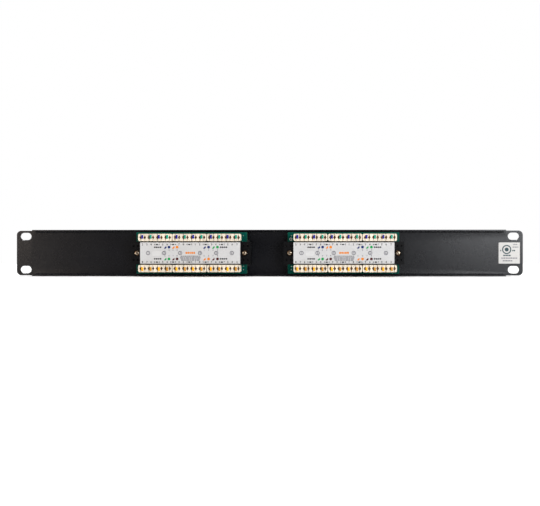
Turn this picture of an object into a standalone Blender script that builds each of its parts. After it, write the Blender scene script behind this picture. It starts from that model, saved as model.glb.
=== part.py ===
"""A 1U, 19-inch twisted-pair patch panel with two six-port modules.

A folded steel panel carries two modules. Each module is a jack frame clipped into the panel, six modular
jacks with sprung contact sets, a circuit board, two rows of insulation-displacement (IDC) blocks, a rear
cover with a wiring label, and two screws.

Frame: metres, +X along the panel, +Z up, +Y towards the plug side, -Y towards the wiring side. The origin
is the panel's centre, in the plane where the ears' rear faces meet the rack rails.
"""

import math

import bmesh
import bpy
from mathutils import Matrix, Vector

MM = 0.001
GAP = 0.3 * MM
PAPER_GAP = 0.06 * MM
CUTTER_REACH = 1.0 * MM
JOIN = 0.5 * MM
WELD_DISTANCE = 0.001 * MM
SMOOTH_BELOW = 30

# Panel
PANEL_LENGTH = 482.6 * MM
PANEL_HEIGHT = 43.66 * MM
EAR_HEIGHT = 42.6 * MM
SHEET = 1.5 * MM
BEND_INNER_RADIUS = 1.0 * MM
BEND_STEPS = 4
FLANGE_HALF_SPAN = 223.0 * MM
FLANGE_REACH = 8.2 * MM
EAR_CORNER_RADIUS = 4.2 * MM
EAR_NECK_OVERLAP = 2.0 * MM
EAR_NECK_INSET = 0.4 * MM
SLOT_SPACING_X = 465.1 * MM
SLOT_SPACING_Z = 31.75 * MM
SLOT_LENGTH = 10.8 * MM
SLOT_HEIGHT = 6.9 * MM
SLOT_END_RADIUS = 3.44 * MM
ARC_STEPS = 6

# Ear label
EAR_LABEL_SIDE = 20.0 * MM
EAR_LABEL_X = 228.4 * MM
PAPER = 0.12 * MM

# Modules and ports
MODULE_X = 70.9 * MM
PORT_PITCH = 15.0 * MM
PORT_MIDDLE_PITCH = 18.6 * MM
PORTS_PER_MODULE = 6

# Circuit board
BOARD_REAR_Y = -12.1 * MM
BOARD_THICKNESS = 1.6 * MM
BOARD_FRONT_Y = BOARD_REAR_Y + BOARD_THICKNESS
BOARD_LENGTH = 103.8 * MM
BOARD_HEIGHT = 38.6 * MM
SCREW_X = 50.0 * MM
BOARD_NOTCH = 3.6 * MM

# Jacks
JACK_WIDTH = 13.4 * MM
JACK_HEIGHT = 15.8 * MM
JACK_FRONT_Y = 5.5 * MM
JACK_BACK_Y = BOARD_FRONT_Y + GAP
MOUTH_WIDTH = 11.9 * MM
MOUTH_TOP_Z = 2.7 * MM
MOUTH_BOTTOM_Z = -4.2 * MM
MOUTH_DEPTH = 12.6 * MM
LATCH_WIDTH = 6.3 * MM
LATCH_DEPTH = 1.5 * MM
LATCH_SLOT_WIDTH = 3.4 * MM
LATCH_SLOT_DEPTH = 1.2 * MM
CONTACT_POCKET_WIDTH = 8.9 * MM
CONTACT_POCKET_TOP_Z = 4.7 * MM
FRONT_LIP = 1.2 * MM

# Contact sets
CONTACT_COUNT = 8
CONTACT_PITCH = 1.016 * MM
WIRE_RADIUS = 0.27 * MM
STRIP_SIDE = 1.0 * MM
STRIP_LENGTH = 8.1 * MM
HINGE_Y = 3.55 * MM
HINGE_Z = 3.6 * MM
WIRE_KNEE = Vector((0, -3.0 * MM, -0.6 * MM))
WIRE_TIP = Vector((0, -9.0 * MM, -2.75 * MM))

# Jack frame
FRAME_END_WALL = 1.3 * MM
FRAME_TOP_WALL = 1.2 * MM
FRAME_FRONT_Y = 5.0 * MM
FRAME_BASE_FRONT_Y = -GAP
FRAME_BASE_THICKNESS = 2.0 * MM
FRAME_BASE_LENGTH = 106.4 * MM
FRAME_BASE_HEIGHT = 25.0 * MM
BOSS_RADIUS = 3.0 * MM
PILOT_RADIUS = 1.6 * MM
PILOT_END_Y = -1.2 * MM
HOOK_X = 31.0 * MM
HOOK_LENGTH = 7.0 * MM
HOOK_RISE = 0.9 * MM
HOOK_BACK_Y = SHEET + GAP
HOOK_FRONT_Y = 3.9 * MM

# Rear cover
COVER_HALF_LENGTH = 55.6 * MM
COVER_HEIGHT = 21.0 * MM
COVER_FACE_Y = -19.5 * MM
COVER_BASE_Y = BOARD_REAR_Y - GAP
COVER_RAISED_LENGTH = 94.2 * MM
TAB_FACE_Y = -17.4 * MM
COVER_WALL = 1.2 * MM
SKIRT_FRONT_Y = -2.6 * MM
SCREW_HOLE_RADIUS = 1.8 * MM
COUNTERBORE_RADIUS = 2.75 * MM
COUNTERBORE_DEPTH = 0.9 * MM
TAB_HOLE_RADIUS = 0.95 * MM
TAB_HOLE_XS = (49.2 * MM, 53.0 * MM)
TAB_HOLE_Z = 6.5 * MM
TAB_HOLE_DEPTH = 1.6 * MM
TAB_HOLE_SIDES = 10

# Wiring label
LABEL_LENGTH = 92.7 * MM
LABEL_HEIGHT = 19.7 * MM

# IDC blocks
IDC_ROW_Z = 14.2 * MM
IDC_ROW_SHIFT_X = 0.7 * MM
IDC_BLOCK_PITCH = 31.45 * MM
IDC_BLOCK_LENGTH = 31.15 * MM
IDC_BLOCK_DEPTH = 6.6 * MM
IDC_BLOCK_HEIGHT = 14.8 * MM
IDC_BASE_Y = BOARD_REAR_Y - GAP
IDC_PAIR_PITCH = 7.62 * MM
IDC_PAIRS = 4
IDC_WIRE_OFFSET = 1.9 * MM
IDC_SLOT_WIDTH = 0.9 * MM
IDC_SLOT_DEPTH = 5.5 * MM
IDC_MIDDLE_TOOTH_DROP = 1.2 * MM
IDC_TOOTH_POINT = 1.1 * MM
IDC_END_CHAMFER = 1.0 * MM
IDC_LEAD_RUN = 0.75 * MM

# Screws
SCREW_HEAD_RADIUS = 2.35 * MM
SCREW_HEAD_HEIGHT = 1.5 * MM
SCREW_SHOULDER = 1.05 * MM
SHOULDER_STEPS = 3
SCREW_SHANK_RADIUS = 1.3 * MM
SCREW_TIP_Y = -2.6 * MM
SCREW_STEPS = 16
CROSS_WIDTH = 0.7 * MM
CROSS_LENGTH = 3.0 * MM
CROSS_DEPTH = 0.8 * MM

# Colour, roughness and metallic value of each material
FINISHES = {
    "powder_coat": ((0.012, 0.012, 0.014), 0.45, 0.0),
    "black_plastic": ((0.010, 0.010, 0.011), 0.5, 0.0),
    "jack_plastic": ((0.014, 0.014, 0.015), 0.4, 0.0),
    "ivory_plastic": ((0.82, 0.74, 0.62), 0.45, 0.0),
    "solder_mask": ((0.010, 0.150, 0.085), 0.35, 0.0),
    "label_paper": ((0.80, 0.81, 0.83), 0.6, 0.0),
    "ear_paper": ((0.78, 0.77, 0.74), 0.6, 0.0),
    "gold_wire": ((0.85, 0.62, 0.25), 0.25, 1.0),
    "nickel_screw": ((0.62, 0.56, 0.47), 0.32, 1.0),
}


# Planes for flat outlines: the world directions of an outline's two coordinates and of its thickness
XY_PLANE = ((1, 0, 0), (0, 1, 0), (0, 0, 1))
XZ_PLANE = ((1, 0, 0), (0, 0, 1), (0, -1, 0))
YZ_PLANE = ((0, 1, 0), (0, 0, 1), (1, 0, 0))


# ---------------------------------------------------------------- scene


def clear_scene():
    for obj in list(bpy.data.objects):
        bpy.data.objects.remove(obj, do_unlink=True)


def new_collection(name):
    collection = bpy.data.collections.new(name)
    bpy.context.scene.collection.children.link(collection)
    return collection


def make_material(name):
    color, roughness, metallic = FINISHES[name]
    material = bpy.data.materials.new(name)
    material.use_nodes = True
    shader = material.node_tree.nodes["Principled BSDF"]
    shader.inputs["Base Color"].default_value = (*color, 1.0)
    shader.inputs["Roughness"].default_value = roughness
    shader.inputs["Metallic"].default_value = metallic
    return material


# ---------------------------------------------------------------- shapes


def box_mesh(name, low, high):
    """A box between two corners, from a unit cube."""
    low, high = Vector(low), Vector(high)
    bm = bmesh.new()
    bmesh.ops.create_cube(bm, size=1.0)
    bmesh.ops.scale(bm, vec=high - low, verts=bm.verts)
    bmesh.ops.translate(bm, vec=(low + high) / 2, verts=bm.verts)
    mesh = bpy.data.meshes.new(name)
    bm.to_mesh(mesh)
    bm.free()
    return mesh


def rod_mesh(name, radius, start, end, segments=16):
    """A cylinder between two points of one line along Y."""
    start, end = Vector(start), Vector(end)
    bm = bmesh.new()
    bmesh.ops.create_cone(
        bm,
        cap_ends=True,
        segments=segments,
        radius1=radius,
        radius2=radius,
        depth=(end - start).length,
    )
    bmesh.ops.rotate(bm, matrix=Matrix.Rotation(math.pi / 2, 3, "X"), verts=bm.verts)
    bmesh.ops.translate(bm, vec=(start + end) / 2, verts=bm.verts)
    mesh = bpy.data.meshes.new(name)
    bm.to_mesh(mesh)
    bm.free()
    return mesh


def prism_mesh(name, outline, thickness, plane):
    """A flat outline, extruded to both sides of its plane."""
    curve = bpy.data.curves.new(name, "CURVE")
    curve.dimensions = "2D"
    curve.fill_mode = "BOTH"
    curve.extrude = thickness / 2
    spline = curve.splines.new("POLY")
    spline.points.add(len(outline) - 1)
    for point, (a, b) in zip(spline.points, outline):
        point.co = (a, b, 0, 1)
    spline.use_cyclic_u = True
    holder = bpy.data.objects.new(name, curve)
    bpy.context.scene.collection.objects.link(holder)
    mesh = solid_from_curve(holder)
    mesh.transform(Matrix([Vector(axis) for axis in plane]).transposed().to_4x4())
    return mesh


def solid_from_curve(holder):
    """The closed mesh of a curve object, which is then removed."""
    graph = bpy.context.evaluated_depsgraph_get()
    mesh = bpy.data.meshes.new_from_object(holder.evaluated_get(graph))
    bm = bmesh.new()
    bm.from_mesh(mesh)
    bmesh.ops.remove_doubles(bm, verts=bm.verts, dist=WELD_DISTANCE)
    bmesh.ops.recalc_face_normals(bm, faces=bm.faces)
    bm.to_mesh(mesh)
    bm.free()
    bpy.data.objects.remove(holder, do_unlink=True)
    return mesh


def arc(centre, radius, start_deg, end_deg, steps=ARC_STEPS):
    points = []
    for step in range(steps + 1):
        angle = math.radians(start_deg + (end_deg - start_deg) * step / steps)
        points.append((centre[0] + radius * math.cos(angle), centre[1] + radius * math.sin(angle)))
    return points


def rounded_rectangle(centre, width, height, radius):
    x, z = centre
    dx, dz = width / 2 - radius, height / 2 - radius
    corners = ((dx, dz, 0), (-dx, dz, 90), (-dx, -dz, 180), (dx, -dz, 270))
    outline = []
    for cx, cz, start in corners:
        outline += arc((x + cx, z + cz), radius, start, start + 90)
    return outline


def shifted(mesh, offset):
    mesh.transform(Matrix.Translation(offset))
    return mesh


# ---------------------------------------------------------------- objects


class Builder:
    """Makes objects in the part's collection, and cuts and joins them with exact Booleans."""

    def __init__(self, parts, cutters, materials):
        self.parts = parts
        self.cutters = cutters
        self.materials = materials

    def place(self, name, mesh, material, location=(0, 0, 0), smooth=False):
        obj = bpy.data.objects.new(name, mesh)
        obj.location = location
        self.parts.objects.link(obj)
        if not mesh.materials:
            mesh.materials.append(self.materials[material])
        if smooth:
            mesh.shade_smooth()
            mesh.set_sharp_from_angle(angle=math.radians(SMOOTH_BELOW))
        return obj

    def tool(self, name, mesh):
        cutter = bpy.data.objects.new(name, mesh)
        cutter.hide_render = True
        cutter.display_type = "WIRE"
        self.cutters.objects.link(cutter)
        return cutter

    def combined(self, base, unions=(), cuts=()):
        """One mesh: base joined with the union meshes, and then cut by the others."""
        holder = bpy.data.objects.new(base.name + "_work", base)
        self.cutters.objects.link(holder)
        holder.hide_render = True
        steps = [("UNION", mesh) for mesh in unions] + [("DIFFERENCE", mesh) for mesh in cuts]
        for operation, mesh in steps:
            modifier = holder.modifiers.new(operation.lower(), "BOOLEAN")
            modifier.operation = operation
            modifier.solver = "EXACT"
            modifier.object = self.tool(mesh.name + "_tool", mesh)
        graph = bpy.context.evaluated_depsgraph_get()
        mesh = bpy.data.meshes.new_from_object(holder.evaluated_get(graph))
        mesh.name = base.name
        bpy.data.objects.remove(holder, do_unlink=True)
        return mesh


# ---------------------------------------------------------------- panel


def channel_outline():
    """Section of the folded middle of the panel: web, two bends and two flanges, as (y, z) points."""
    outer = BEND_INNER_RADIUS + SHEET
    bend_y = -BEND_INNER_RADIUS
    bend_z = PANEL_HEIGHT / 2 - outer
    top_outer = arc((bend_y, bend_z), outer, 0, 90, BEND_STEPS)
    top_inner = arc((bend_y, bend_z), BEND_INNER_RADIUS, 90, 0, BEND_STEPS)
    top_edge = [(-FLANGE_REACH, PANEL_HEIGHT / 2), (-FLANGE_REACH, PANEL_HEIGHT / 2 - SHEET)]
    top = top_outer + top_edge + top_inner
    bottom = [(y, -z) for y, z in reversed(top)]
    return top + bottom


def ear_plate(side):
    """One flat ear. It runs a little way into the folded middle, below the bends."""
    inner, outer = FLANGE_HALF_SPAN, PANEL_LENGTH / 2
    neck = inner - EAR_NECK_OVERLAP
    neck_z = PANEL_HEIGHT / 2 - BEND_INNER_RADIUS - SHEET - EAR_NECK_INSET
    half = EAR_HEIGHT / 2
    corner = (outer - EAR_CORNER_RADIUS, half - EAR_CORNER_RADIUS)
    upper = [(neck, neck_z), (inner, neck_z), (inner, half)]
    upper += list(reversed(arc(corner, EAR_CORNER_RADIUS, 0, 90)))
    outline = upper + [(x, -z) for x, z in reversed(upper)]
    plate = prism_mesh("ear_plate", [(side * x, z) for x, z in outline], SHEET, XZ_PLANE)
    return shifted(plate, (0, SHEET / 2, 0))


def slot_cutters():
    cutters = []
    for side_x in (-1, 1):
        for side_z in (-1, 1):
            centre = (side_x * SLOT_SPACING_X / 2, side_z * SLOT_SPACING_Z / 2)
            outline = rounded_rectangle(centre, SLOT_LENGTH, SLOT_HEIGHT, SLOT_END_RADIUS)
            slot = prism_mesh("rack_slot", outline, SHEET + 2 * CUTTER_REACH, XZ_PLANE)
            cutters.append(shifted(slot, (0, SHEET / 2, 0)))
    return cutters


def collar_size():
    """Outer half length and half height of a jack frame's collar."""
    outer_port = PORT_MIDDLE_PITCH / 2 + (PORTS_PER_MODULE / 2 - 1) * PORT_PITCH
    half_length = outer_port + JACK_WIDTH / 2 + GAP + FRAME_END_WALL
    half_height = JACK_HEIGHT / 2 + GAP + FRAME_TOP_WALL
    return half_length, half_height


def cutout_cutters():
    half_length, half_height = collar_size()
    cutters = []
    for module_x in (-MODULE_X, MODULE_X):
        low = (module_x - half_length - GAP, -CUTTER_REACH, -half_height - GAP)
        high = (module_x + half_length + GAP, SHEET + CUTTER_REACH, half_height + GAP)
        cutters.append(box_mesh("module_cutout", low, high))
    return cutters


def build_panel(builder):
    channel = prism_mesh("rack_panel", channel_outline(), 2 * FLANGE_HALF_SPAN, YZ_PLANE)
    ears = [ear_plate(-1), ear_plate(1)]
    mesh = builder.combined(channel, ears, cutout_cutters() + slot_cutters())
    builder.place("rack_panel", mesh, "powder_coat", smooth=True)


def build_ear_label(builder):
    half = EAR_LABEL_SIDE / 2
    low = (EAR_LABEL_X - half, -PAPER_GAP - PAPER, -half)
    high = (EAR_LABEL_X + half, -PAPER_GAP, half)
    builder.place("ear_label", box_mesh("ear_label", low, high), "ear_paper")


# ---------------------------------------------------------------- module pieces


def port_xs():
    """Port centres of one module, from left to right, about the module's centre."""
    half = [PORT_MIDDLE_PITCH / 2 + i * PORT_PITCH for i in range(PORTS_PER_MODULE // 2)]
    return [-x for x in reversed(half)] + half


def hook_mesh(x, side):
    """A snap hook on the collar: square towards the sheet, sloping away in front of it."""
    _, half_height = collar_size()
    root = half_height - JOIN
    crest = half_height + HOOK_RISE
    outline = [(HOOK_BACK_Y, root), (HOOK_BACK_Y, crest), (HOOK_FRONT_Y, root)]
    mesh = prism_mesh("frame_hook", [(y, side * z) for y, z in outline], HOOK_LENGTH, YZ_PLANE)
    return shifted(mesh, (x, 0, 0))


def frame_mesh(builder):
    half_length, half_height = collar_size()
    base_back_y = FRAME_BASE_FRONT_Y - FRAME_BASE_THICKNESS
    base = box_mesh(
        "jack_frame",
        (-FRAME_BASE_LENGTH / 2, base_back_y, -FRAME_BASE_HEIGHT / 2),
        (FRAME_BASE_LENGTH / 2, FRAME_BASE_FRONT_Y, FRAME_BASE_HEIGHT / 2),
    )
    collar = box_mesh(
        "frame_collar",
        (-half_length, base_back_y + JOIN, -half_height),
        (half_length, FRAME_FRONT_Y, half_height),
    )
    boss_end_y = BOARD_FRONT_Y + GAP
    bosses = [
        rod_mesh("frame_boss", BOSS_RADIUS, (x, boss_end_y, 0), (x, base_back_y + JOIN, 0))
        for x in (-SCREW_X, SCREW_X)
    ]
    hooks = [hook_mesh(x, side) for x in (-HOOK_X, HOOK_X) for side in (-1, 1)]
    window = (JACK_WIDTH / 2 + GAP, JACK_HEIGHT / 2 + GAP)
    windows = [
        box_mesh(
            "frame_window",
            (x - window[0], base_back_y - CUTTER_REACH, -window[1]),
            (x + window[0], FRAME_FRONT_Y + CUTTER_REACH, window[1]),
        )
        for x in port_xs()
    ]
    pilots = [
        rod_mesh("frame_pilot", PILOT_RADIUS, (x, boss_end_y - CUTTER_REACH, 0), (x, PILOT_END_Y, 0))
        for x in (-SCREW_X, SCREW_X)
    ]
    return builder.combined(base, [collar] + bosses + hooks, windows + pilots)


def board_outline():
    """The board, with a round-ended notch for a screw at each end, as (x, z) points."""
    half_length, half_height = BOARD_LENGTH / 2, BOARD_HEIGHT / 2
    radius = BOARD_NOTCH / 2
    right = [(half_length, -half_height), (half_length, -radius)]
    right += list(reversed(arc((SCREW_X, 0), radius, 90, 270)))
    right += [(half_length, radius), (half_length, half_height)]
    left = [(-x, z) for x, z in reversed(right)]
    return right + left


def board_mesh():
    board = prism_mesh("circuit_board", board_outline(), BOARD_THICKNESS, XZ_PLANE)
    return shifted(board, (0, (BOARD_REAR_Y + BOARD_FRONT_Y) / 2, 0))


def cover_mesh(builder):
    """Tabs at board level, a raised middle over the soldered pins, and a skirt past each board end."""
    half_length, half_height = COVER_HALF_LENGTH, COVER_HEIGHT / 2
    half_raised = COVER_RAISED_LENGTH / 2
    cover = box_mesh(
        "rear_cover",
        (-half_length, TAB_FACE_Y, -half_height),
        (half_length, COVER_BASE_Y, half_height),
    )
    raised = box_mesh(
        "cover_raised",
        (-half_raised, COVER_FACE_Y, -half_height),
        (half_raised, COVER_BASE_Y - JOIN, half_height),
    )
    skirts = [
        box_mesh(
            "cover_skirt",
            (min(side * half_length, side * (half_length - COVER_WALL)), COVER_BASE_Y - JOIN, -half_height),
            (max(side * half_length, side * (half_length - COVER_WALL)), SKIRT_FRONT_Y, half_height),
        )
        for side in (-1, 1)
    ]
    wall = COVER_WALL
    pocket = box_mesh(
        "cover_pocket",
        (-COVER_RAISED_LENGTH / 2 + wall, COVER_FACE_Y + wall, -COVER_HEIGHT / 2 + wall),
        (COVER_RAISED_LENGTH / 2 - wall, COVER_BASE_Y + CUTTER_REACH, COVER_HEIGHT / 2 - wall),
    )
    cuts = [pocket]
    for side in (-1, 1):
        x = side * SCREW_X
        seat_y = TAB_FACE_Y + COUNTERBORE_DEPTH
        clear_y = TAB_FACE_Y - CUTTER_REACH
        cuts.append(rod_mesh("cover_screw_hole", SCREW_HOLE_RADIUS, (x, clear_y, 0), (x, BOARD_REAR_Y, 0)))
        cuts.append(rod_mesh("cover_counterbore", COUNTERBORE_RADIUS, (x, clear_y, 0), (x, seat_y, 0)))
        for hole_x in TAB_HOLE_XS:
            for z in (-TAB_HOLE_Z, TAB_HOLE_Z):
                start = (side * hole_x, clear_y, z)
                end = (side * hole_x, TAB_FACE_Y + TAB_HOLE_DEPTH, z)
                cuts.append(rod_mesh("cover_tab_hole", TAB_HOLE_RADIUS, start, end, TAB_HOLE_SIDES))
    return builder.combined(cover, [raised] + skirts, cuts)


def label_mesh():
    low = (-LABEL_LENGTH / 2, COVER_FACE_Y - PAPER_GAP - PAPER, -LABEL_HEIGHT / 2)
    high = (LABEL_LENGTH / 2, COVER_FACE_Y - PAPER_GAP, LABEL_HEIGHT / 2)
    return box_mesh("wiring_label", low, high)


def idc_outline():
    """Comb section of a block, as (x, y) points with y = 0 on the board side.

    Each pair has two wire slots about a shorter middle tooth. The teeth end in points that lead a wire
    into its slot.
    """
    top = -IDC_BLOCK_HEIGHT
    shoulder = top + IDC_TOOTH_POINT
    half = IDC_BLOCK_LENGTH / 2
    slots = []
    for pair in range(IDC_PAIRS):
        centre = (pair - (IDC_PAIRS - 1) / 2) * IDC_PAIR_PITCH
        slots += [(centre - IDC_WIRE_OFFSET, True), (centre + IDC_WIRE_OFFSET, False)]
    slot_floor = top + IDC_SLOT_DEPTH
    points = [(-half, 0), (-half, top + IDC_END_CHAMFER), (-half + IDC_END_CHAMFER, top)]
    lead = IDC_LEAD_RUN
    drop = IDC_MIDDLE_TOOTH_DROP
    for x, opens_pair in slots:
        before = 0 if opens_pair else drop
        after = drop if opens_pair else 0
        left, right = x - IDC_SLOT_WIDTH / 2, x + IDC_SLOT_WIDTH / 2
        points.append((left - lead, top + before))
        points.append((left, shoulder + before))
        points.append((left, slot_floor))
        points.append((right, slot_floor))
        points.append((right, shoulder + after))
        points.append((right + lead, top + after))
    points += [(half - IDC_END_CHAMFER, top), (half, top + IDC_END_CHAMFER), (half, 0)]
    return points


def idc_mesh():
    return prism_mesh("idc_block", idc_outline(), IDC_BLOCK_DEPTH, XY_PLANE)


def screw_mesh(builder):
    """A pan-head screw turned about Y, with its seat under the head at y = 0 and a cross recess."""
    shoulder = (SCREW_HEAD_RADIUS - SCREW_SHOULDER, SCREW_HEAD_HEIGHT - SCREW_SHOULDER)
    profile = [(0, SCREW_HEAD_HEIGHT)] + arc(shoulder, SCREW_SHOULDER, 90, 0, SHOULDER_STEPS)
    profile += [
        (SCREW_HEAD_RADIUS, 0),
        (SCREW_SHANK_RADIUS, 0),
        (SCREW_SHANK_RADIUS, SCREW_SHANK_RADIUS - screw_length()),
        (0, -screw_length()),
    ]
    mesh = bpy.data.meshes.new("screw_profile")
    edges = [(i, i + 1) for i in range(len(profile) - 1)]
    mesh.from_pydata([(radius, 0, height) for radius, height in profile], edges, [])
    holder = bpy.data.objects.new("screw_profile", mesh)
    bpy.context.scene.collection.objects.link(holder)
    turn = holder.modifiers.new("turn", "SCREW")
    turn.axis = "Z"
    turn.steps = SCREW_STEPS
    turn.render_steps = SCREW_STEPS
    turn.use_merge_vertices = True
    turn.merge_threshold = WELD_DISTANCE
    turned = solid_from_curve(holder)
    turned.name = "module_screw"
    turned.transform(Matrix.Rotation(math.pi / 2, 4, "X"))
    top = -SCREW_HEAD_HEIGHT
    long, short = CROSS_LENGTH / 2, CROSS_WIDTH / 2
    cross = [
        box_mesh("screw_cross", (-a, top - CUTTER_REACH, -b), (a, top + CROSS_DEPTH, b))
        for a, b in ((long, short), (short, long))
    ]
    return builder.combined(turned, cuts=cross)


def screw_seat_y():
    return TAB_FACE_Y + COUNTERBORE_DEPTH - GAP


def screw_length():
    return SCREW_TIP_Y - screw_seat_y()


def mouth_cutters():
    """The plug opening and the two steps of its latch channel."""
    back, front = JACK_FRONT_Y - MOUTH_DEPTH, JACK_FRONT_Y + CUTTER_REACH
    step_z = MOUTH_BOTTOM_Z - LATCH_DEPTH
    floor_z = step_z - LATCH_SLOT_DEPTH
    steps = ((MOUTH_WIDTH, MOUTH_BOTTOM_Z), (LATCH_WIDTH, step_z), (LATCH_SLOT_WIDTH, floor_z))
    return [
        box_mesh("jack_mouth", (-width / 2, back, low_z), (width / 2, front, MOUTH_TOP_Z))
        for width, low_z in steps
    ]


def jack_mesh(builder):
    body = box_mesh(
        "jack",
        (-JACK_WIDTH / 2, JACK_BACK_Y, -JACK_HEIGHT / 2),
        (JACK_WIDTH / 2, JACK_FRONT_Y, JACK_HEIGHT / 2),
    )
    pocket = box_mesh(
        "jack_contact_pocket",
        (-CONTACT_POCKET_WIDTH / 2, JACK_FRONT_Y - MOUTH_DEPTH, 0),
        (CONTACT_POCKET_WIDTH / 2, JACK_FRONT_Y - FRONT_LIP, CONTACT_POCKET_TOP_Z),
    )
    return builder.combined(body, cuts=mouth_cutters() + [pocket])


def wire_mesh(x):
    """One sprung contact wire, from its root on the hinge line to its free tip."""
    curve = bpy.data.curves.new("contact_wire", "CURVE")
    curve.dimensions = "3D"
    curve.bevel_depth = WIRE_RADIUS
    curve.bevel_resolution = 0
    curve.use_fill_caps = True
    spline = curve.splines.new("POLY")
    route = (Vector((0, 0, 0)), WIRE_KNEE, WIRE_TIP)
    spline.points.add(len(route) - 1)
    for point, place in zip(spline.points, route):
        point.co = (x + place.x, place.y, place.z, 1)
    holder = bpy.data.objects.new("contact_wire", curve)
    bpy.context.scene.collection.objects.link(holder)
    return solid_from_curve(holder)


def contact_mesh(builder):
    """Eight wires on their moulded strip, with the origin on the hinge line."""
    half = STRIP_SIDE / 2
    strip = box_mesh("contacts", (-STRIP_LENGTH / 2, -half, -half), (STRIP_LENGTH / 2, half, half))
    first = -(CONTACT_COUNT - 1) / 2 * CONTACT_PITCH
    wires = [wire_mesh(first + i * CONTACT_PITCH) for i in range(CONTACT_COUNT)]
    return builder.combined(strip, wires)


# ---------------------------------------------------------------- assembly


def build_modules(builder):
    frame = frame_mesh(builder)
    board = board_mesh()
    cover = cover_mesh(builder)
    label = label_mesh()
    block = idc_mesh()
    screw = screw_mesh(builder)
    for side, module_x in (("left", -MODULE_X), ("right", MODULE_X)):
        place = (module_x, 0, 0)
        builder.place(side + "_jack_frame", frame, "black_plastic", place, smooth=True)
        builder.place(side + "_circuit_board", board, "solder_mask", place, smooth=True)
        builder.place(side + "_rear_cover", cover, "black_plastic", place, smooth=True)
        builder.place(side + "_wiring_label", label, "label_paper", place)
        for row, row_z in (("top", IDC_ROW_Z), ("bottom", -IDC_ROW_Z)):
            for number in (1, 2, 3):
                x = module_x + IDC_ROW_SHIFT_X + (number - 2) * IDC_BLOCK_PITCH
                name = f"{side}_idc_{row}_{number}"
                builder.place(name, block, "ivory_plastic", (x, IDC_BASE_Y, row_z))
        for number, x in ((1, -SCREW_X), (2, SCREW_X)):
            name = f"{side}_screw_{number}"
            builder.place(name, screw, "nickel_screw", (module_x + x, screw_seat_y(), 0), smooth=True)


def build_ports(builder):
    """The jacks and contact sets. Port 1 is at the left end as seen from the plug side, which is at +X."""
    jack = jack_mesh(builder)
    contacts = contact_mesh(builder)
    centres = [module_x + x for module_x in (-MODULE_X, MODULE_X) for x in port_xs()]
    for port, x in enumerate(sorted(centres, reverse=True), 1):
        builder.place(f"port_{port:02d}_jack", jack, "jack_plastic", (x, 0, 0))
        builder.place(f"port_{port:02d}_contacts", contacts, "gold_wire", (x, HINGE_Y, HINGE_Z))


def main():
    clear_scene()
    parts = new_collection("patch_panel")
    cutters = new_collection("cutters")
    cutters.hide_render = True
    materials = {name: make_material(name) for name in FINISHES}
    builder = Builder(parts, cutters, materials)
    build_panel(builder)
    build_ear_label(builder)
    build_modules(builder)
    build_ports(builder)


main()
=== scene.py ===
"""Looks of a 1U, twelve-port twisted-pair patch panel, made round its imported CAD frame.

Metres, +X along the panel, +Z up. The wiring side, which the camera sees, faces -Y.
The plug side faces +Y.
"""

import math

import bmesh
import bpy
from mathutils import Matrix, Vector


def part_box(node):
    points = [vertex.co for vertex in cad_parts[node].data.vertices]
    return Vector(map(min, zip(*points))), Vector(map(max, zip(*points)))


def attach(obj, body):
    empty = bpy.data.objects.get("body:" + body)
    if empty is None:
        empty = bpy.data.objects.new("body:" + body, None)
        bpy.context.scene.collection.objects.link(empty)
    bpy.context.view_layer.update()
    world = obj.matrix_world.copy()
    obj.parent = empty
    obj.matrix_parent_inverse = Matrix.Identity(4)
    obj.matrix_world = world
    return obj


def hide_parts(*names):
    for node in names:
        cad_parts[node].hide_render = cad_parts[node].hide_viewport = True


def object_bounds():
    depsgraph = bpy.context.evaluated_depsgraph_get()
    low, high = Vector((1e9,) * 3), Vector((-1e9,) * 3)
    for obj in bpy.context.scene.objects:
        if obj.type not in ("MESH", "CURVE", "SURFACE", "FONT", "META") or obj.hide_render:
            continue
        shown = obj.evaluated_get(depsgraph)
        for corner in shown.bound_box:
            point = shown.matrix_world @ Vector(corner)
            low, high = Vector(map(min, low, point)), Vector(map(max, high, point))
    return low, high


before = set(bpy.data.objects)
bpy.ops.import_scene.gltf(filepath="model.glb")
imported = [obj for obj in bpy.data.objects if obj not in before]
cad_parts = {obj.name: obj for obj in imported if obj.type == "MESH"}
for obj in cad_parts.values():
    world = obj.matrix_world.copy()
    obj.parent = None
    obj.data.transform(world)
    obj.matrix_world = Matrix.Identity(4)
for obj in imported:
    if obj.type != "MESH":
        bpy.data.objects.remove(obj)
CAD_BOX = [list(corner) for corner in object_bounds()]

MM = 0.001
ROOT = "panel_assembly"
SIDES = ("left", "right")
ROWS = ("top", "bottom")
PORTS = range(1, 13)
WELD = 0.002 * MM
REACH = 1.0 * MM  # how far a cutter goes past the face it opens
JOIN = 0.4 * MM  # how far two shapes run into each other before they are united
ARC_STEPS = 6

# Camera and stage
CAMERA_X = 37.2 * MM
CAMERA_DISTANCE = 596.0 * MM
CAMERA_YAW = 0.936
CAMERA_LENS = 41.736
CAMERA_SHIFT = -0.05
FLOOR_RADIUS = 0.8
FLOOR_THICKNESS = 20.0 * MM
FLOOR_CLEARANCE = 0.05 * MM
WORLD_LIGHT = 0.12

# Soft boxes: name, place, what it points at, size, watts and colour
PANEL_CENTRE = (0, 0, 0)
LIGHTS = (
    ("overhead", (0, -0.1, 1.1), (0, -0.1, 0), (1.8, 1.5), 19.0, (1.0, 1.0, 1.0)),
    ("left_box", (-0.96, -1.08, 0.16), PANEL_CENTRE, (0.32, 0.26), 7.5, (1.0, 0.87, 0.76)),
    ("right_box", (0.67, -1.12, 0.16), PANEL_CENTRE, (0.50, 0.26), 12.6, (0.95, 0.97, 1.0)),
    ("rear_left_box", (-0.64, 1.12, 0.16), PANEL_CENTRE, (0.56, 0.30), 10.0, (0.96, 0.98, 1.0)),
    ("rear_right_box", (0.64, 1.12, 0.16), PANEL_CENTRE, (0.56, 0.30), 10.0, (1.0, 0.97, 0.94)),
)

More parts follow.
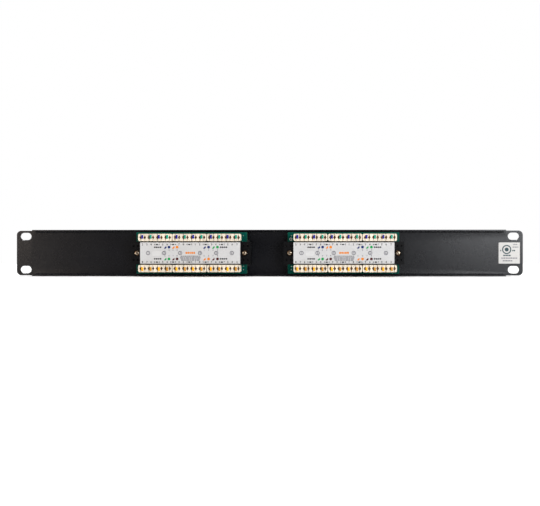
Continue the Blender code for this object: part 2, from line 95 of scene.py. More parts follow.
# Insulation-displacement blocks
PAIRS = 4
PAIR_PITCH = 7.62 * MM
WIRE_OFFSET = 1.9 * MM
SLIT_WIDTH = 0.30 * MM
SLIT_DEPTH = 5.5 * MM
MIDDLE_DROP = 1.2 * MM
CROWN_HEIGHT = 7.0 * MM
CROWN_RADIUS = 1.4 * MM
CROWN_INSET = 0.17 * MM
FOOT_INSET = 1.4 * MM
FUNNEL_DEPTH = 0.5 * MM
FUNNEL_SLOPE = 0.10
CAVITY_HALF_X = 1.22 * MM
CAVITY_HALF_Z = 2.1 * MM
RECESS_DEPTH = 0.4 * MM
MARK_HALF_X = 0.84 * MM
MARK_HALF_Z = 1.75 * MM
MARK_RISE = 0.45 * MM
MARK_OFFSET = -0.45 * MM
MARK_SHIFT = {"top": 0.6 * MM, "bottom": -0.5 * MM}
MARK_INKS = {"top": ("mark_blue", "mark_teal"), "bottom": ("mark_orange", "mark_gold")}
MARK_DEPTH = 1.2 * MM
CLIP_THICKNESS = 0.5 * MM
CLIP_DEPTH = 0.9 * MM
CLIP_ROOT_Y = -2.0 * MM
CLIP_SHOULDER = 0.7 * MM
CLIP_FORK = 1.0 * MM
CLIP_HALF = 0.62 * MM
CLIP_THROAT = 0.10 * MM
CLIP_MOUTH = 0.42 * MM
# The dark diamond under each clip's fork, a painted shade deep in its funnel
SHADE_SEAT_DEPTH = 1.5 * MM
SHADE_SEAT_HEIGHT = 1.4 * MM
WALL_PANEL_FILL = 0.38  # half the width of a wall panel, as a part of the pair pitch
WALL_PANEL_FOOT = -1.4 * MM

# Print
INK = 0.02 * MM
NUMERAL_BOLDNESS = 0.03
DASH_GAP = 0.3 * MM

# Wiring label: x, or x and z, from its centre
EDGE_ROWS = ((7.8 * MM, 1), (-8.4 * MM, -1))  # height and counting direction
EDGE_GROUPS = 5
EDGE_GROUP_PITCH = 15.05 * MM
EDGE_FIRST_GROUP = -30.85 * MM
EDGE_LEFT_SINGLES = [-44.2 * MM, -40.1 * MM, -36.2 * MM]
EDGE_RIGHT_SINGLE = 43.3 * MM
KEY_ROW_TOP = 5.4 * MM
KEY_ROW_BOTTOM = -5.5 * MM
COLOR_KEYS = (  # first dot, pitch, row and the inks of its two pairs
    (-23.3 * MM, 3.73 * MM, KEY_ROW_TOP, ("ink_navy", "ink_orange")),
    (-23.3 * MM, 3.73 * MM, KEY_ROW_BOTTOM, ("ink_green", "ink_brown")),
    (13.0 * MM, 4.1 * MM, KEY_ROW_TOP, ("ink_navy", "ink_green")),
    (13.0 * MM, 4.1 * MM, KEY_ROW_BOTTOM, ("ink_orange", "ink_brown")),
)
PORT_CIRCLES = (-39.0 * MM, -24.2 * MM, -9.3 * MM, 9.1 * MM, 24.1 * MM, 38.6 * MM)
KEY_WORDS_XS = (-30.1 * MM, 30.9 * MM)
KEY_WORDS_ZS = (5.3 * MM, -5.4 * MM)
NOTE_X = 0.15 * MM
NOTE_LINES = 4

# Ear label: the middle of its ring, from the label's centre
EMBLEM_X = -2.4 * MM
EMBLEM_Z = 3.3 * MM

# Boards
RAIL_INSET = 0.55 * MM
RAIL_HALF_LENGTH = 44 * MM
RAIL_WIDTH = 0.18 * MM
TRACKS = 24
TRACK_WIDTH = 0.3 * MM
TRACK_SWAY = 0.9 * MM
COPPER_RISE = 0.035 * MM
COPPER_SINK = 0.05 * MM
RING_INSET = 2.9 * MM
RING_Z = 12.9 * MM
VIA_INSET = 3.4 * MM
VIA_ZS = (-15.5 * MM, -12.4 * MM, 16.2 * MM)

# Cover tabs, at both ends of a cover
SCREW_X = 50.0 * MM
TAB_FACE_Y = -17.4 * MM
BOSS_RADIUS = 3.5 * MM
BOSS_TOP_RADIUS = 3.35 * MM
BOSS_HOLE_RADIUS = 2.85 * MM
TAB_RIB_Z = 4.4 * MM
TAB_RIB_HALF = 0.3 * MM
TAB_RIB_INNER = 2.2 * MM
TAB_RIB_OUTER = 5.2 * MM

# Screws
HEAD = 1.5 * MM
CROWN_CURVE = 2.6  # the crown's radius, in head radii
RIM = 0.5 * MM
SHANK = 1.3 * MM
SHANK_COLLAR = 0.8 * MM
THREAD_PITCH = 0.9 * MM
THREAD_DEPTH = 0.22 * MM
THREAD_END = 2.2 * MM
TURNING_STEPS = 40
RECESS_HALF = 0.45 * MM
RECESS_FLOOR = 0.9 * MM
SCREW_TURNS = {"left_screw_1": 40, "left_screw_2": -58, "right_screw_1": 28, "right_screw_2": 74}

# Sockets
CONTACTS = 8
CONTACT_PITCH = 1.016 * MM
WIRE_RADIUS = 0.27 * MM
STRIP_SIDE = 1.0 * MM
STRIP_LENGTH = 8.1 * MM
COMB_HALF = 0.14 * MM
COMB_Y = (-7.4 * MM, -4.2 * MM)
COMB_Z = (1.0 * MM, 5.0 * MM)
# A contact wire's centreline from the hinge line, as (y, z): a knee, a long spring, a lifted tip
WIRE_ROUTE = (
    (0.55 * MM, 0.0),
    (0.0, 0.0),
    (-1.2 * MM, -0.08 * MM),
    (-2.4 * MM, -0.36 * MM),
    (-3.6 * MM, -0.78 * MM),
    (-5.4 * MM, -1.42 * MM),
    (-7.0 * MM, -2.02 * MM),
    (-8.2 * MM, -2.42 * MM),
    (-8.8 * MM, -2.46 * MM),
    (-9.1 * MM, -2.30 * MM),
)
PORT_NUMBER_Z = 13.8 * MM
PORT_NUMBER_SIZE = 3.4 * MM


# ---------------------------------------------------------------- materials

# A spark-eroded mould's grain and its depth, and the depth of a fine one
ERODED_GRAIN = 0.22 * MM
ERODED_DEPTH = 0.010 * MM
FINE_DEPTH = 0.006 * MM


class Finish:
    """A Principled material whose detail comes from textures in the piece's own coordinates."""

    def __init__(self, name, sockets):
        self.name = name
        self.material = bpy.data.materials.new(name + "_finish")
        self.material.use_nodes = True
        self.tree = self.material.node_tree
        self.shader = self.tree.nodes["Principled BSDF"]
        self.place = self.node("ShaderNodeTexCoord").outputs["Object"]
        self.bumps = None
        for socket, value in sockets.items():
            self.shader.inputs[socket].default_value = value

    def node(self, kind, inputs=None, **settings):
        node = self.tree.nodes.new(kind)
        for key, value in settings.items():
            setattr(node, key, value)
        for key, value in (inputs or {}).items():
            if isinstance(value, bpy.types.NodeSocket):
                self.tree.links.new(value, node.inputs[key])
            else:
                node.inputs[key].default_value = value
        return node

    def drive(self, socket, value):
        self.tree.links.new(value, self.shader.inputs[socket])

    def noise(self, size, detail=3.0, stretch=(1, 1, 1)):
        """A value about 0.5 that varies over about that many metres."""
        mapping = self.node("ShaderNodeMapping", {"Vector": self.place, "Scale": stretch})
        inputs = {"Vector": mapping.outputs["Vector"], "Scale": 1 / size, "Detail": detail}
        return self.node("ShaderNodeTexNoise", inputs).outputs["Fac"]

    def between(self, value, low, high):
        inputs = {"Value": value, "From Min": 0.3, "From Max": 0.7, "To Min": low, "To Max": high}
        return self.node("ShaderNodeMapRange", inputs).outputs["Result"]

    def blend(self, value, low, high, start=0.3, end=0.7):
        """A colour from low to high as value goes from start to end."""
        ramp = self.node("ShaderNodeValToRGB", {"Fac": value})
        first, last = ramp.color_ramp.elements
        first.position, last.position = start, end
        first.color, last.color = (*low, 1), (*high, 1)
        return ramp.outputs["Color"]

    def mix(self, value, low, high):
        """One of two colour sockets, or a blend, as value goes from 0 to 1."""
        inputs = {0: value, 6: low, 7: high}
        return self.node("ShaderNodeMix", inputs, data_type="RGBA").outputs[2]

    def relief(self, height, depth):
        """Adds bumps that are about depth metres deep."""
        inputs = {"Height": height, "Distance": depth}
        if self.bumps:
            inputs["Normal"] = self.bumps
        self.bumps = self.node("ShaderNodeBump", inputs).outputs["Normal"]
        self.drive("Normal", self.bumps)


def tinted(color, factor):
    return tuple(channel * factor for channel in color)


def moulded(name, color, roughness, grain, depth, extra=None):
    """A moulded plastic: faint colour clouds, a spark-eroded grain and uneven gloss."""
    finish = Finish(name, extra or {})
    clouds = finish.noise(14 * MM, 4.0)
    finish.drive("Base Color", finish.blend(clouds, tinted(color, 0.82), tinted(color, 1.15)))
    wear = finish.noise(5 * MM, 5.0)
    finish.drive("Roughness", finish.between(wear, roughness - 0.06, roughness + 0.08))
    finish.relief(finish.noise(grain, 2.0), depth)
    return finish


def powder_coat():
    """Black powder coat: an orange-peel skin with fine grey grains."""
    finish = Finish("powder_coat", {"Specular IOR Level": 0.125})
    low, high = (0.0022, 0.0023, 0.0034), (0.0036, 0.0037, 0.0052)
    clouds = finish.blend(finish.noise(45 * MM, 5.0), low, high)
    dust = finish.between(finish.noise(0.9 * MM, 2.0), -0.6, 0.35)
    dusty = finish.mix(dust, clouds, (0.0080, 0.0080, 0.0100, 1))
    finish.drive("Base Color", dusty)
    finish.drive("Roughness", finish.between(finish.noise(12 * MM, 6.0), 0.26, 0.285))
    finish.relief(finish.noise(0.7 * MM, 1.0), 0.020 * MM)
    finish.relief(finish.noise(0.16 * MM, 1.0), 0.004 * MM)
    return finish


def solder_mask():
    """Green lacquer over woven glass, darker in clouds."""
    finish = Finish("solder_mask", {"Specular IOR Level": 0.04})
    weave = finish.node("ShaderNodeTexChecker", {"Vector": finish.place, "Scale": 1 / (0.45 * MM)})
    glass = finish.mix(weave.outputs["Fac"], (0.0002, 0.052, 0.038, 1), (0.0004, 0.063, 0.046, 1))
    clouds = finish.between(finish.noise(6 * MM, 4.0), 0.0, 0.6)
    finish.drive("Base Color", finish.mix(clouds, glass, (0.0002, 0.035, 0.025, 1)))
    finish.drive("Roughness", finish.between(finish.noise(2 * MM, 3.0), 0.28, 0.42))
    finish.relief(weave.outputs["Fac"], 0.004 * MM)
    finish.relief(finish.noise(1.5 * MM, 2.0), 0.012 * MM)
    return finish


def board_edge():
    """Cut glass laminate, in layers."""
    finish = Finish("board_edge", {"Specular IOR Level": 0.3})
    layers = finish.noise(0.35 * MM, 2.0, (0.15, 1, 0.15))
    finish.drive("Base Color", finish.blend(layers, (0.030, 0.110, 0.050), (0.085, 0.200, 0.085)))
    finish.drive("Roughness", finish.between(finish.noise(0.5 * MM), 0.6, 0.8))
    finish.relief(layers, 0.03 * MM)
    return finish


def ivory():
    """Slightly translucent ivory plastic."""
    sockets = {
        "Subsurface Weight": 0.12,
        "Subsurface Scale": 1.0 * MM,
        "Subsurface Radius": (1.0, 0.7, 0.45),
    }
    return moulded("ivory_plastic", (0.60, 0.53, 0.425), 0.42, 0.30 * MM, FINE_DEPTH, sockets)


def mark_cap(name, color):
    """A coloured cap on a block."""
    return moulded(name, color, 0.42, 0.35 * MM, FINE_DEPTH, {"Specular IOR Level": 0.25})


def paper(name, color):
    """Coated label stock: faint fibres along it, small grey flecks and an uneven sheen."""
    finish = Finish(name, {"Specular IOR Level": 0.35})
    fibres = finish.noise(0.5 * MM, 4.0, (0.25, 1, 1))
    sheet = finish.blend(fibres, tinted(color, 0.94), tinted(color, 1.03))
    clouds = finish.between(finish.noise(16 * MM, 3.0), 0.0, 0.5)
    finish.drive("Base Color", finish.mix(clouds, sheet, (*tinted(color, 0.93), 1)))
    finish.drive("Roughness", finish.between(finish.noise(3 * MM, 4.0), 0.42, 0.60))
    finish.relief(fibres, 0.004 * MM)
    return finish


def ink(name, color):
    """Screen-printed ink, thinner in small spots."""
    finish = Finish(name, {"Specular IOR Level": 0.15})
    spots = finish.noise(0.35 * MM, 3.0)
    pale = tuple(0.9 * channel + 0.012 for channel in color)
    finish.drive("Base Color", finish.blend(spots, pale, color, 0.25, 0.5))
    finish.drive("Roughness", finish.between(spots, 0.55, 0.40))
    return finish


def metal(name, dark, bright, roughness, size, stretch=(1, 1, 1)):
    """A plated or drawn metal with tarnish clouds and fine tool marks."""
    finish = Finish(name, {"Metallic": 1.0})
    tarnish = finish.noise(size, 4.0, stretch)
    finish.drive("Base Color", finish.blend(tarnish, dark, bright))
    marks = finish.noise(0.12 * MM, 3.0, (1, 1, 0.2))
    finish.drive("Roughness", finish.between(marks, roughness - 0.07, roughness + 0.1))
    finish.relief(marks, 0.003 * MM)
    return finish


def floor_finish():
    finish = Finish("studio_floor", {"Specular IOR Level": 0.1})
    pale = finish.blend(finish.noise(0.6), (0.93, 0.93, 0.93), (0.95, 0.95, 0.95))
    finish.drive("Base Color", pale)
    finish.drive("Roughness", finish.between(finish.noise(0.2), 0.85, 0.95))
    return finish


def make_finishes():
    dull, satin = {"Specular IOR Level": 0.07}, {"Specular IOR Level": 0.3}
    made = [
        powder_coat(),
        solder_mask(),
        board_edge(),
        ivory(),
        floor_finish(),
        moulded("cover_plastic", (0.0021, 0.0021, 0.0025), 0.44, ERODED_GRAIN, ERODED_DEPTH, dull),
        moulded("frame_plastic", (0.0060, 0.0060, 0.0063), 0.46, ERODED_GRAIN, ERODED_DEPTH, satin),
        moulded("jack_plastic", (0.0100, 0.0100, 0.0108), 0.36, 0.25 * MM, ERODED_DEPTH),
        moulded("strip_plastic", (0.030, 0.028, 0.026), 0.40, 0.30 * MM, FINE_DEPTH),
        mark_cap("mark_blue", (0.002, 0.003, 0.200)),
        mark_cap("mark_teal", (0.001, 0.250, 0.170)),
        mark_cap("mark_orange", (0.90, 0.38, 0.003)),
        mark_cap("mark_gold", (0.47, 0.22, 0.018)),
        paper("label_paper", (0.475, 0.480, 0.487)),
        paper("ear_paper", (0.47, 0.462, 0.447)),
        ink("ink_black", (0.020, 0.020, 0.024)),
        ink("ink_grey", (0.11, 0.11, 0.13)),
        ink("ink_ring", (0.13, 0.13, 0.15)),
        ink("ink_pale", (0.54, 0.54, 0.56)),
        ink("ink_navy", (0.003, 0.018, 0.110)),
        ink("ink_orange", (0.62, 0.185, 0.012)),
        ink("ink_green", (0.004, 0.250, 0.060)),
        ink("ink_brown", (0.055, 0.006, 0.008)),
        ink("ink_slate", (0.014, 0.040, 0.048)),
        ink("ink_white", (0.72, 0.72, 0.72)),
        ink("ink_blank", (0.515, 0.520, 0.526)),
        metal("nickel", (0.19, 0.155, 0.115), (0.37, 0.315, 0.245), 0.32, 1.5 * MM),
        metal("bronze", (0.34, 0.23, 0.12), (0.72, 0.58, 0.38), 0.36, 0.8 * MM),
        # A very dark bronze: painted shade in the blocks' funnels and in the screws' recesses
        metal("painted_shade_bronze", (0.035, 0.018, 0.009), (0.12, 0.065, 0.032), 0.5, 0.6 * MM),
        metal("gold", (0.70, 0.46, 0.15), (0.92, 0.70, 0.32), 0.20, 1.0 * MM),
        metal("tin", (0.45, 0.46, 0.45), (0.74, 0.75, 0.73), 0.30, 0.7 * MM),
    ]
    return {finish.name: finish.material for finish in made}


FINISHES = make_finishes()


# ---------------------------------------------------------------- shapes

# Planes for outlines: the world directions of their two coordinates and of their thickness
XY_PLANE = ((1, 0, 0), (0, 1, 0), (0, 0, 1))
XZ_PLANE = ((1, 0, 0), (0, 0, 1), (0, -1, 0))
YZ_PLANE = ((0, 1, 0), (0, 0, 1), (1, 0, 0))


def mesh_of(bm, name):
    mesh = bpy.data.meshes.new(name)
    bm.to_mesh(mesh)
    bm.free()
    return mesh


def box_mesh(name, low, high):
    """A box between two corners, whichever way round they come."""
    low, high = Vector(low), Vector(high)
    size = Vector(abs(a - b) for a, b in zip(low, high))
    bm = bmesh.new()
    bmesh.ops.create_cube(bm, size=1.0)
    bmesh.ops.scale(bm, vec=size, verts=bm.verts)
    bmesh.ops.translate(bm, vec=(low + high) / 2, verts=bm.verts)
    return mesh_of(bm, name)


def cone_mesh(name, centre, rear, front, depth, segments, scale=(1, 1)):
    """A cone or cylinder along Y: radius rear at its +Y end and front at its -Y end."""
    bm = bmesh.new()
    radii = {"radius1": rear, "radius2": front}
    bmesh.ops.create_cone(bm, cap_ends=True, segments=segments, depth=depth, **radii)
    bmesh.ops.scale(bm, vec=(scale[0], scale[1], 1), verts=bm.verts)
    bmesh.ops.rotate(bm, matrix=Matrix.Rotation(math.pi / 2, 3, "X"), verts=bm.verts)
    bmesh.ops.translate(bm, vec=centre, verts=bm.verts)
    return mesh_of(bm, name)


def evaluated_mesh(holder, name):
    """The closed mesh of an object that is then removed."""
    graph = bpy.context.evaluated_depsgraph_get()
    mesh = bpy.data.meshes.new_from_object(holder.evaluated_get(graph))
    bpy.data.objects.remove(holder, do_unlink=True)
    bm = bmesh.new()
    bm.from_mesh(mesh)
    bmesh.ops.remove_doubles(bm, verts=bm.verts, dist=WELD)
    bmesh.ops.recalc_face_normals(bm, faces=bm.faces)
    return mesh_of(bm, name)


def prism_mesh(name, outline, thickness, plane):
    """A flat outline, extruded to both sides of its plane."""
    curve = bpy.data.curves.new(name, "CURVE")
    curve.dimensions = "2D"
    curve.fill_mode = "BOTH"
    curve.extrude = thickness / 2
    spline = curve.splines.new("POLY")
    spline.points.add(len(outline) - 1)
    for point, (a, b) in zip(spline.points, outline):
        point.co = (a, b, 0, 1)
    spline.use_cyclic_u = True
    holder = bpy.data.objects.new(name, curve)
    bpy.context.scene.collection.objects.link(holder)
    mesh = evaluated_mesh(holder, name)
    mesh.transform(Matrix([Vector(axis) for axis in plane]).transposed().to_4x4())
    return mesh


def arc(centre, radius, start_deg, end_deg, steps=ARC_STEPS):
    points = []
    for step in range(steps + 1):
        angle = math.radians(start_deg + (end_deg - start_deg) * step / steps)
        points.append((centre[0] + radius * math.cos(angle), centre[1] + radius * math.sin(angle)))
    return points


def rounded_rectangle(centre, width, height, radius, steps=ARC_STEPS):
    x, z = centre
    dx, dz = width / 2 - radius, height / 2 - radius
    outline = []
    for cx, cz, start in ((dx, dz, 0), (-dx, dz, 90), (-dx, -dz, 180), (dx, -dz, 270)):
        outline += arc((x + cx, z + cz), radius, start, start + 90, steps)
    return outline


def shifted(mesh, offset):
    mesh.transform(Matrix.Translation(offset))
    return mesh


def combined(base, steps):
    """base after Boolean steps, each an operation and a mesh."""
    holder = bpy.data.objects.new(base.name, base)
    bpy.context.scene.collection.objects.link(holder)
    tools = []
    for operation, mesh in steps:
        tool = bpy.data.objects.new(mesh.name, mesh)
        bpy.context.scene.collection.objects.link(tool)
        tools.append(tool)
        modifier = holder.modifiers.new(operation, "BOOLEAN")
        modifier.operation = operation
        modifier.solver = "EXACT"
        modifier.object = tool
    mesh = evaluated_mesh(holder, base.name)
    for tool in tools:
        bpy.data.objects.remove(tool, do_unlink=True)
    return mesh


def cuts(meshes):
    return [("DIFFERENCE", mesh) for mesh in meshes]


def joins(meshes):
    return [("UNION", mesh) for mesh in meshes]


def flattened(mesh):
    """The mesh with its flat stretches merged, so that a bevel finds only real edges.

    Faces that would bend back on themselves are split, because a bevel triangulates them badly.
    """
    bm = bmesh.new()
    bm.from_mesh(mesh)
    bmesh.ops.remove_doubles(bm, verts=bm.verts, dist=WELD)
    bmesh.ops.dissolve_limit(bm, angle_limit=math.radians(1.0), verts=bm.verts, edges=bm.edges)
    bmesh.ops.connect_verts_concave(bm, faces=bm.faces)
    flat = mesh_of(bm, mesh.name)
    normals = flat.attributes.get("custom_normal")
    if normals:
        flat.attributes.remove(normals)
    return flat


def cad_shape(node):
    """A clean copy of a CAD node's mesh, in world coordinates."""
    return flattened(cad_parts[node].data)


def joined(name, meshes):
    """Several meshes as one, without a Boolean. Their material numbers stay."""
    bm = bmesh.new()
    for mesh in meshes:
        bm.from_mesh(mesh)
    return mesh_of(bm, name)


# ---------------------------------------------------------------- pieces


def piece(
    name, mesh, finishes, stands_for=(), body=ROOT, bevel=0.0, segments=2, smooth=35
):
    """A visible object with its materials and rounded edges, given to its body."""
    obj = bpy.data.objects.new(name, mesh)
    bpy.context.scene.collection.objects.link(obj)
    for finish in finishes:
        mesh.materials.append(FINISHES[finish])
    mesh.shade_smooth()
    mesh.set_sharp_from_angle(angle=math.radians(smooth))
    if bevel:
        rounding = obj.modifiers.new("rounded_edges", "BEVEL")
        rounding.width = bevel
        rounding.segments = segments
        rounding.limit_method = "ANGLE"
        rounding.angle_limit = math.radians(30)
        rounding.harden_normals = True
    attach(obj, body)
    if stands_for:
        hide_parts(*stands_for)
    return obj


def middle(node):
    low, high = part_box(node)
    return (low + high) / 2


# ---------------------------------------------------------------- print


def digit_mesh(character):
    """A numeral 1 unit high, standing in the XZ plane and facing -Y."""
    curve = bpy.data.curves.new("numeral", "FONT")
    curve.body = character
    curve.align_x = "CENTER"
    curve.align_y = "CENTER"
    curve.resolution_u = 2
    curve.offset = NUMERAL_BOLDNESS
    curve.extrude = 0.5
    holder = bpy.data.objects.new("numeral", curve)
    bpy.context.scene.collection.objects.link(holder)
    mesh = evaluated_mesh(holder, "numeral")
    mesh.transform(Matrix.Rotation(math.pi / 2, 4, "X"))
    return mesh


class Print:
    """Ink shapes, each a thin plate, in x and z about a centre.

    They face -Y, or +Y when they are placed turned, on the plug side.
    """

    def __init__(self, name):
        self.name = name
        self.bm = bmesh.new()
        self.inks = []
        self.numerals = {}

    def ink_index(self, ink_name):
        if ink_name not in self.inks:
            self.inks.append(ink_name)
        return self.inks.index(ink_name)

    def shape(self, ink_name, outline):
        rear = [self.bm.verts.new((x, 0, z)) for x, z in outline]
        face = self.bm.faces.new(rear)
        face.material_index = self.ink_index(ink_name)
        made = bmesh.ops.extrude_face_region(self.bm, geom=[face])["geom"]
        front = [item for item in made if isinstance(item, bmesh.types.BMVert)]
        bmesh.ops.translate(self.bm, vec=(0, -INK, 0), verts=front)

    def bar(self, ink_name, x, z, width, height):
        radius = 0.3 * min(width, height)
        self.shape(ink_name, rounded_rectangle((x, z), width, height, radius, 2))

    def disc(self, ink_name, x, z, radius):
        self.shape(ink_name, arc((x, z), radius, 0, 345, 23))

    def half_disc(self, ink_name, x, z, radius):
        """The lower right half, for the white wire of a pair."""
        self.shape(ink_name, arc((x, z), radius, -135, 45, 12))

    def ring(self, ink_name, x, z, outer, inner):
        for start in (0, 180):
            band = arc((x, z), outer, start, start + 180, 12)
            band += arc((x, z), inner, start + 180, start, 12)
            self.shape(ink_name, band)

    def number(self, ink_name, text, x, z, size):
        if text not in self.numerals:
            self.numerals[text] = digit_mesh(text)
        mesh = self.numerals[text].copy()
        mesh.transform(Matrix.Diagonal((size, INK, size, 1)))
        mesh.transform(Matrix.Translation((x, -INK / 2, z)))
        known = len(self.bm.faces)
        self.bm.from_mesh(mesh)
        self.bm.faces.ensure_lookup_table()
        for face in self.bm.faces[known:]:
            face.material_index = self.ink_index(ink_name)

    def words(self, ink_name, x, z, widths, height):
        """Generic dashes in the place of words, centred on x."""
        at = x - (sum(widths) + DASH_GAP * (len(widths) - 1)) / 2
        for width in widths:
            self.bar(ink_name, at + width / 2, z, width, height)
            at += width + DASH_GAP

    def place(self, centre, slot, turned=False):
        bmesh.ops.recalc_face_normals(self.bm, faces=self.bm.faces)
        mesh = mesh_of(self.bm, self.name)
        if turned:
            mesh.transform(Matrix.Rotation(math.pi, 4, "Z"))
        return piece(self.name, shifted(mesh, centre), self.inks)


def wiring_label_edges(label):
    """Position numbers along the label's long edges, beside the wire slots."""
    for z, direction in EDGE_ROWS:
        singles = list(EDGE_LEFT_SINGLES)
        for group in range(EDGE_GROUPS):
            x = EDGE_FIRST_GROUP + group * EDGE_GROUP_PITCH
            label.bar("ink_black", x, z, 2.1 * MM, 1.15 * MM)
            label.number("ink_black", str(2 + group), x - 2.2 * MM, z, 2.0 * MM)
            label.number("ink_black", str(3 + group), x + 2.2 * MM, z, 2.0 * MM)
            singles += [x + 5.5 * MM, x + 9.5 * MM]
        singles.append(EDGE_RIGHT_SINGLE)
        for count, x in enumerate(singles, 1):
            label.number("ink_black", str((count * direction) % 8 + 1), x, z, 2.4 * MM)


def wiring_label_colors(label):
    """The colour keys: a half dot is the white wire of a pair and a full dot the other."""
    for first_x, pitch, z, inks in COLOR_KEYS:
        first_number, inward = (1, -2.7 * MM) if z > 0 else (5, 2.9 * MM)
        for index in range(4):
            x = first_x + index * pitch
            ink_name = inks[index // 2]
            if index % 2:
                label.disc(ink_name, x, z, 1.3 * MM)
            else:
                label.half_disc(ink_name, x, z, 1.45 * MM)
            label.number("ink_grey", str(index + first_number), x, z + inward, 1.8 * MM)


def wiring_label_middle(label):
    """Port circles, dashes in the place of words, and a blank writing box."""
    for number, x in enumerate(PORT_CIRCLES, 1):
        label.ring("ink_ring", x, 0, 1.95 * MM, 1.3 * MM)
        label.number("ink_grey", str(number), x, 0, 2.8 * MM)
    for x in KEY_WORDS_XS:
        for z in KEY_WORDS_ZS:
            label.words("ink_black", x, z, (1.4 * MM, 1.7 * MM, 1.3 * MM, 1.6 * MM), 1.4 * MM)
    title = (1.6 * MM, 1.6 * MM, 1.2 * MM, 1.7 * MM, 1.6 * MM)
    label.words("ink_orange", NOTE_X, 0.1 * MM, title, 1.9 * MM)
    label.words("ink_black", NOTE_X, -2.9 * MM, [1.9 * MM, 1.2 * MM] * 5, 0.62 * MM)
    for line in range(NOTE_LINES):
        width = (3.2 - 0.2 * line) * MM
        words = [width, 1.6 * MM] * 3 + [width]
        label.words("ink_grey", NOTE_X, (-4.0 - 0.98 * line) * MM, words, 0.55 * MM)
    label.bar("ink_blank", -31.2 * MM, -0.45 * MM, 8.0 * MM, 4.4 * MM)


def label_sheet(node, corner, finish):
    """A sheet as large as its CAD piece, less the ink on it. Gives the middle of its face."""
    low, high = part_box(node)
    centre = (low + high) / 2
    size = high - low
    outline = rounded_rectangle((0, 0), size.x, size.z, corner)
    sheet = shifted(prism_mesh(node + "_sheet", outline, size.y - 2 * INK, XZ_PLANE), centre)
    piece(node + "_sheet", sheet, [finish], [node])
    return centre.x, low.y + INK, centre.z


def build_wiring_labels():
    for side in SIDES:
        node = side + "_wiring_label"
        face = label_sheet(node, 0.6 * MM, "label_paper")
        label = Print(node + "_print")
        wiring_label_edges(label)
        wiring_label_colors(label)
        wiring_label_middle(label)
        label.place(face, "label_paper")


def build_ear_label():
    """A plain sticker: a ring with a dot, and dashes where the lines of text would be."""
    face = label_sheet("ear_label", 0.5 * MM, "ear_paper")
    label = Print("ear_label_print")
    label.ring("ink_slate", EMBLEM_X, EMBLEM_Z, 4.35 * MM, 3.3 * MM)
    label.disc("ink_slate", EMBLEM_X, EMBLEM_Z, 1.9 * MM)
    label.bar("ink_slate", -8.0 * MM, 2.3 * MM, 0.9 * MM, 1.5 * MM)
    lines = (
        ("ink_slate", 4.1 * MM, 2.3 * MM, (0.9 * MM, 1.6 * MM), 1.3 * MM),
        ("ink_grey", 5.6 * MM, 8.0 * MM, (1.6 * MM, 1.8 * MM), 0.7 * MM),
        ("ink_grey", 5.8 * MM, 5.6 * MM, (1.9 * MM, 2.0 * MM, 0.9 * MM), 0.8 * MM),
        ("ink_slate", -2.2 * MM, -2.3 * MM, (1.7 * MM, 1.5 * MM, 1.3 * MM, 1.6 * MM), 1.4 * MM),
        ("ink_grey", 0, -4.8 * MM, [1.6 * MM, 2.2 * MM, 1.9 * MM] * 2 + [2.0 * MM], 1.0 * MM),
        ("ink_grey", -1.6 * MM, -7.4 * MM, (2.1 * MM, 2.4 * MM, 2.2 * MM, 1.6 * MM), 1.0 * MM),
    )
    for line in lines:
        label.words(*line)
    label.place(face, "ear_label_paper")


def build_port_numbers():
    """White numbers on the panel above the sockets, on the plug side."""
    _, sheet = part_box("rack_panel")
    numbers = Print("port_numbers")
    for port in PORTS:
        jack = middle(f"port_{port:02d}_jack")
        numbers.number("ink_white", str(port), -jack.x, PORT_NUMBER_Z, PORT_NUMBER_SIZE)
    numbers.place((0, sheet.y, 0), "panel_paint", turned=True)


# ---------------------------------------------------------------- blocks


def slot_positions():
    """The centre of each pair and of its two wire slots, along a block."""
    positions = []
    for pair in range(PAIRS):
        centre = (pair - (PAIRS - 1) / 2) * PAIR_PITCH
        positions.append((centre, centre - WIRE_OFFSET, centre + WIRE_OFFSET))
    return positions


def comb_outline(length, height):
    """Comb section of a block, as (x, y): y is 0 on the board and falls towards the wires."""
    points = [(-length / 2, 0), (-length / 2, -height)]
    for _, left, right in slot_positions():
        for x, before, after in ((left, 0, MIDDLE_DROP), (right, MIDDLE_DROP, 0)):
            low_x, high_x = x - SLIT_WIDTH / 2, x + SLIT_WIDTH / 2
            points.append((low_x, before - height))
            points.append((low_x, SLIT_DEPTH - height))
            points.append((high_x, SLIT_DEPTH - height))
            points.append((high_x, after - height))
    points += [(length / 2, -height), (length / 2, 0)]
    return points


def block_envelope(size):
    """Square where it stands on the board, with round corners at the wires."""
    seam_y = CROWN_HEIGHT - size.y
    foot_x = size.x / 2 - FOOT_INSET
    foot = box_mesh("block_foot", (-foot_x, 0, -size.z / 2), (foot_x, seam_y, size.z / 2))
    outline = rounded_rectangle((0, 0), size.x - 2 * CROWN_INSET, size.z, CROWN_RADIUS)
    crown = prism_mesh("block_crown", outline, CROWN_HEIGHT + JOIN, XZ_PLANE)
    shifted(crown, (0, seam_y - CROWN_HEIGHT / 2 + JOIN / 2, 0))
    return combined(foot, joins([crown]))


